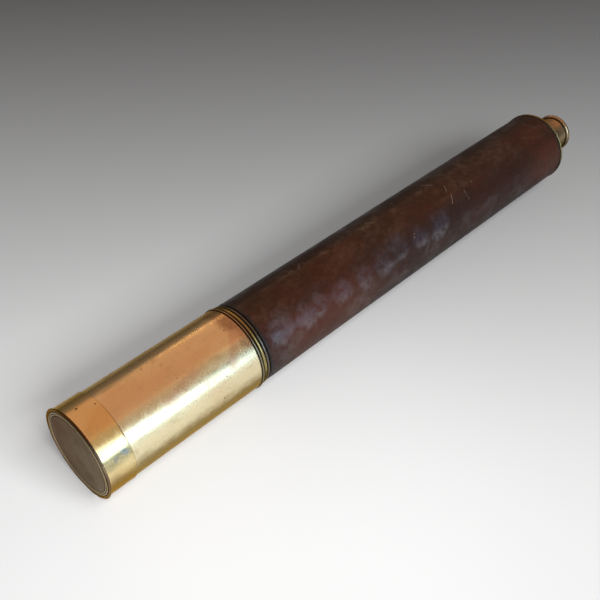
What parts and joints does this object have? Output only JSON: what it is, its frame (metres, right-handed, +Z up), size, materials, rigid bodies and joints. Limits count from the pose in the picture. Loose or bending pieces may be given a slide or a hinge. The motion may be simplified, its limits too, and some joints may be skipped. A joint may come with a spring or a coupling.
{
  "type": "brass telescope",
  "caption": "Single-draw brass hand telescope with a leather-covered barrel, sliding ray shade, push-on lens cap, pull-out draw tube and a flared eyecup with a swinging dust shutter.",
  "frame": {"origin": "centre of the bounding box at its base, where the telescope lies on a surface", "axes": "+X along the optical axis from the lens cap to the eyecup, +Z up, +Y to the side"},
  "size_m": [0.5576, 0.0684, 0.0684],
  "materials": {
    "cap_brass": "warm polished brass with a worn lacquer",
    "shade_brass": "polished brass with patches of tarnish and small dents",
    "ring_brass": "turned brass darkened in its grooves",
    "draw_brass": "lacquered drawn brass",
    "black_brass": "matt black lacquer on brass",
    "steel": "small steel screw and spacer",
    "leather": "dark red-brown waxed leather, scuffed and polished by handling",
    "felt": "dark felt strip",
    "glass": "clear optical glass"
  },
  "bodies": {
    "barrel": {"barrel_tube": "shade_brass", "leather_front_ring": "ring_brass", "leather_cover": "leather", "rear_flange": "ring_brass", "draw_guide_sleeve": "ring_brass", "barrel_baffle_front": "black_brass", "barrel_baffle_rear": "black_brass", "objective_cell": "black_brass", "objective_crown_lens": "glass", "objective_spacer": "steel", "objective_flint_lens": "glass", "objective_retaining_ring": "black_brass"},
    "ray_shade": {"shade_tube": "shade_brass", "shade_front_ring": "shade_brass", "shade_felt_liner": "felt"},
    "lens_cap": {"cap_shell": "cap_brass", "cap_disc": "cap_brass"},
    "draw": {"draw_tube": "draw_brass", "draw_stop_ring": "black_brass", "draw_end_ring": "draw_brass", "erector_mount_ring": "black_brass", "erector_tube": "draw_brass", "erector_front_ring": "black_brass", "erector_front_lens": "glass", "erector_diaphragm": "black_brass", "erector_rear_lens": "glass", "erector_rear_ring": "black_brass", "eyepiece_tube": "draw_brass", "field_lens_ring": "black_brass", "field_lens": "glass", "field_stop": "black_brass", "eye_lens": "glass", "eye_lens_cell": "black_brass", "eyecup": "draw_brass", "shutter_pivot_screw": "steel"},
    "eye_shutter": {"eyehole_shutter": "draw_brass", "shutter_knob": "draw_brass"}
  },
  "joints": [
    {"name": "shade_slide", "type": "slide", "parent": "barrel", "child": "ray_shade", "axis": [-1, 0, 0], "range_m": [0, 0.09]},
    {"name": "cap_pull", "type": "slide", "parent": "ray_shade", "child": "lens_cap", "axis": [-1, 0, 0], "range_m": [0, 0.045]},
    {"name": "draw_slide", "type": "slide", "parent": "barrel", "child": "draw", "axis": [1, 0, 0], "range_m": [0, 0.3]},
    {"name": "shutter_swing", "type": "hinge", "parent": "draw", "child": "eye_shutter", "pos_m": [0.27255, 0, 0.0432], "axis": [1, 0, 0], "range_deg": [0, 54]}
  ]
}
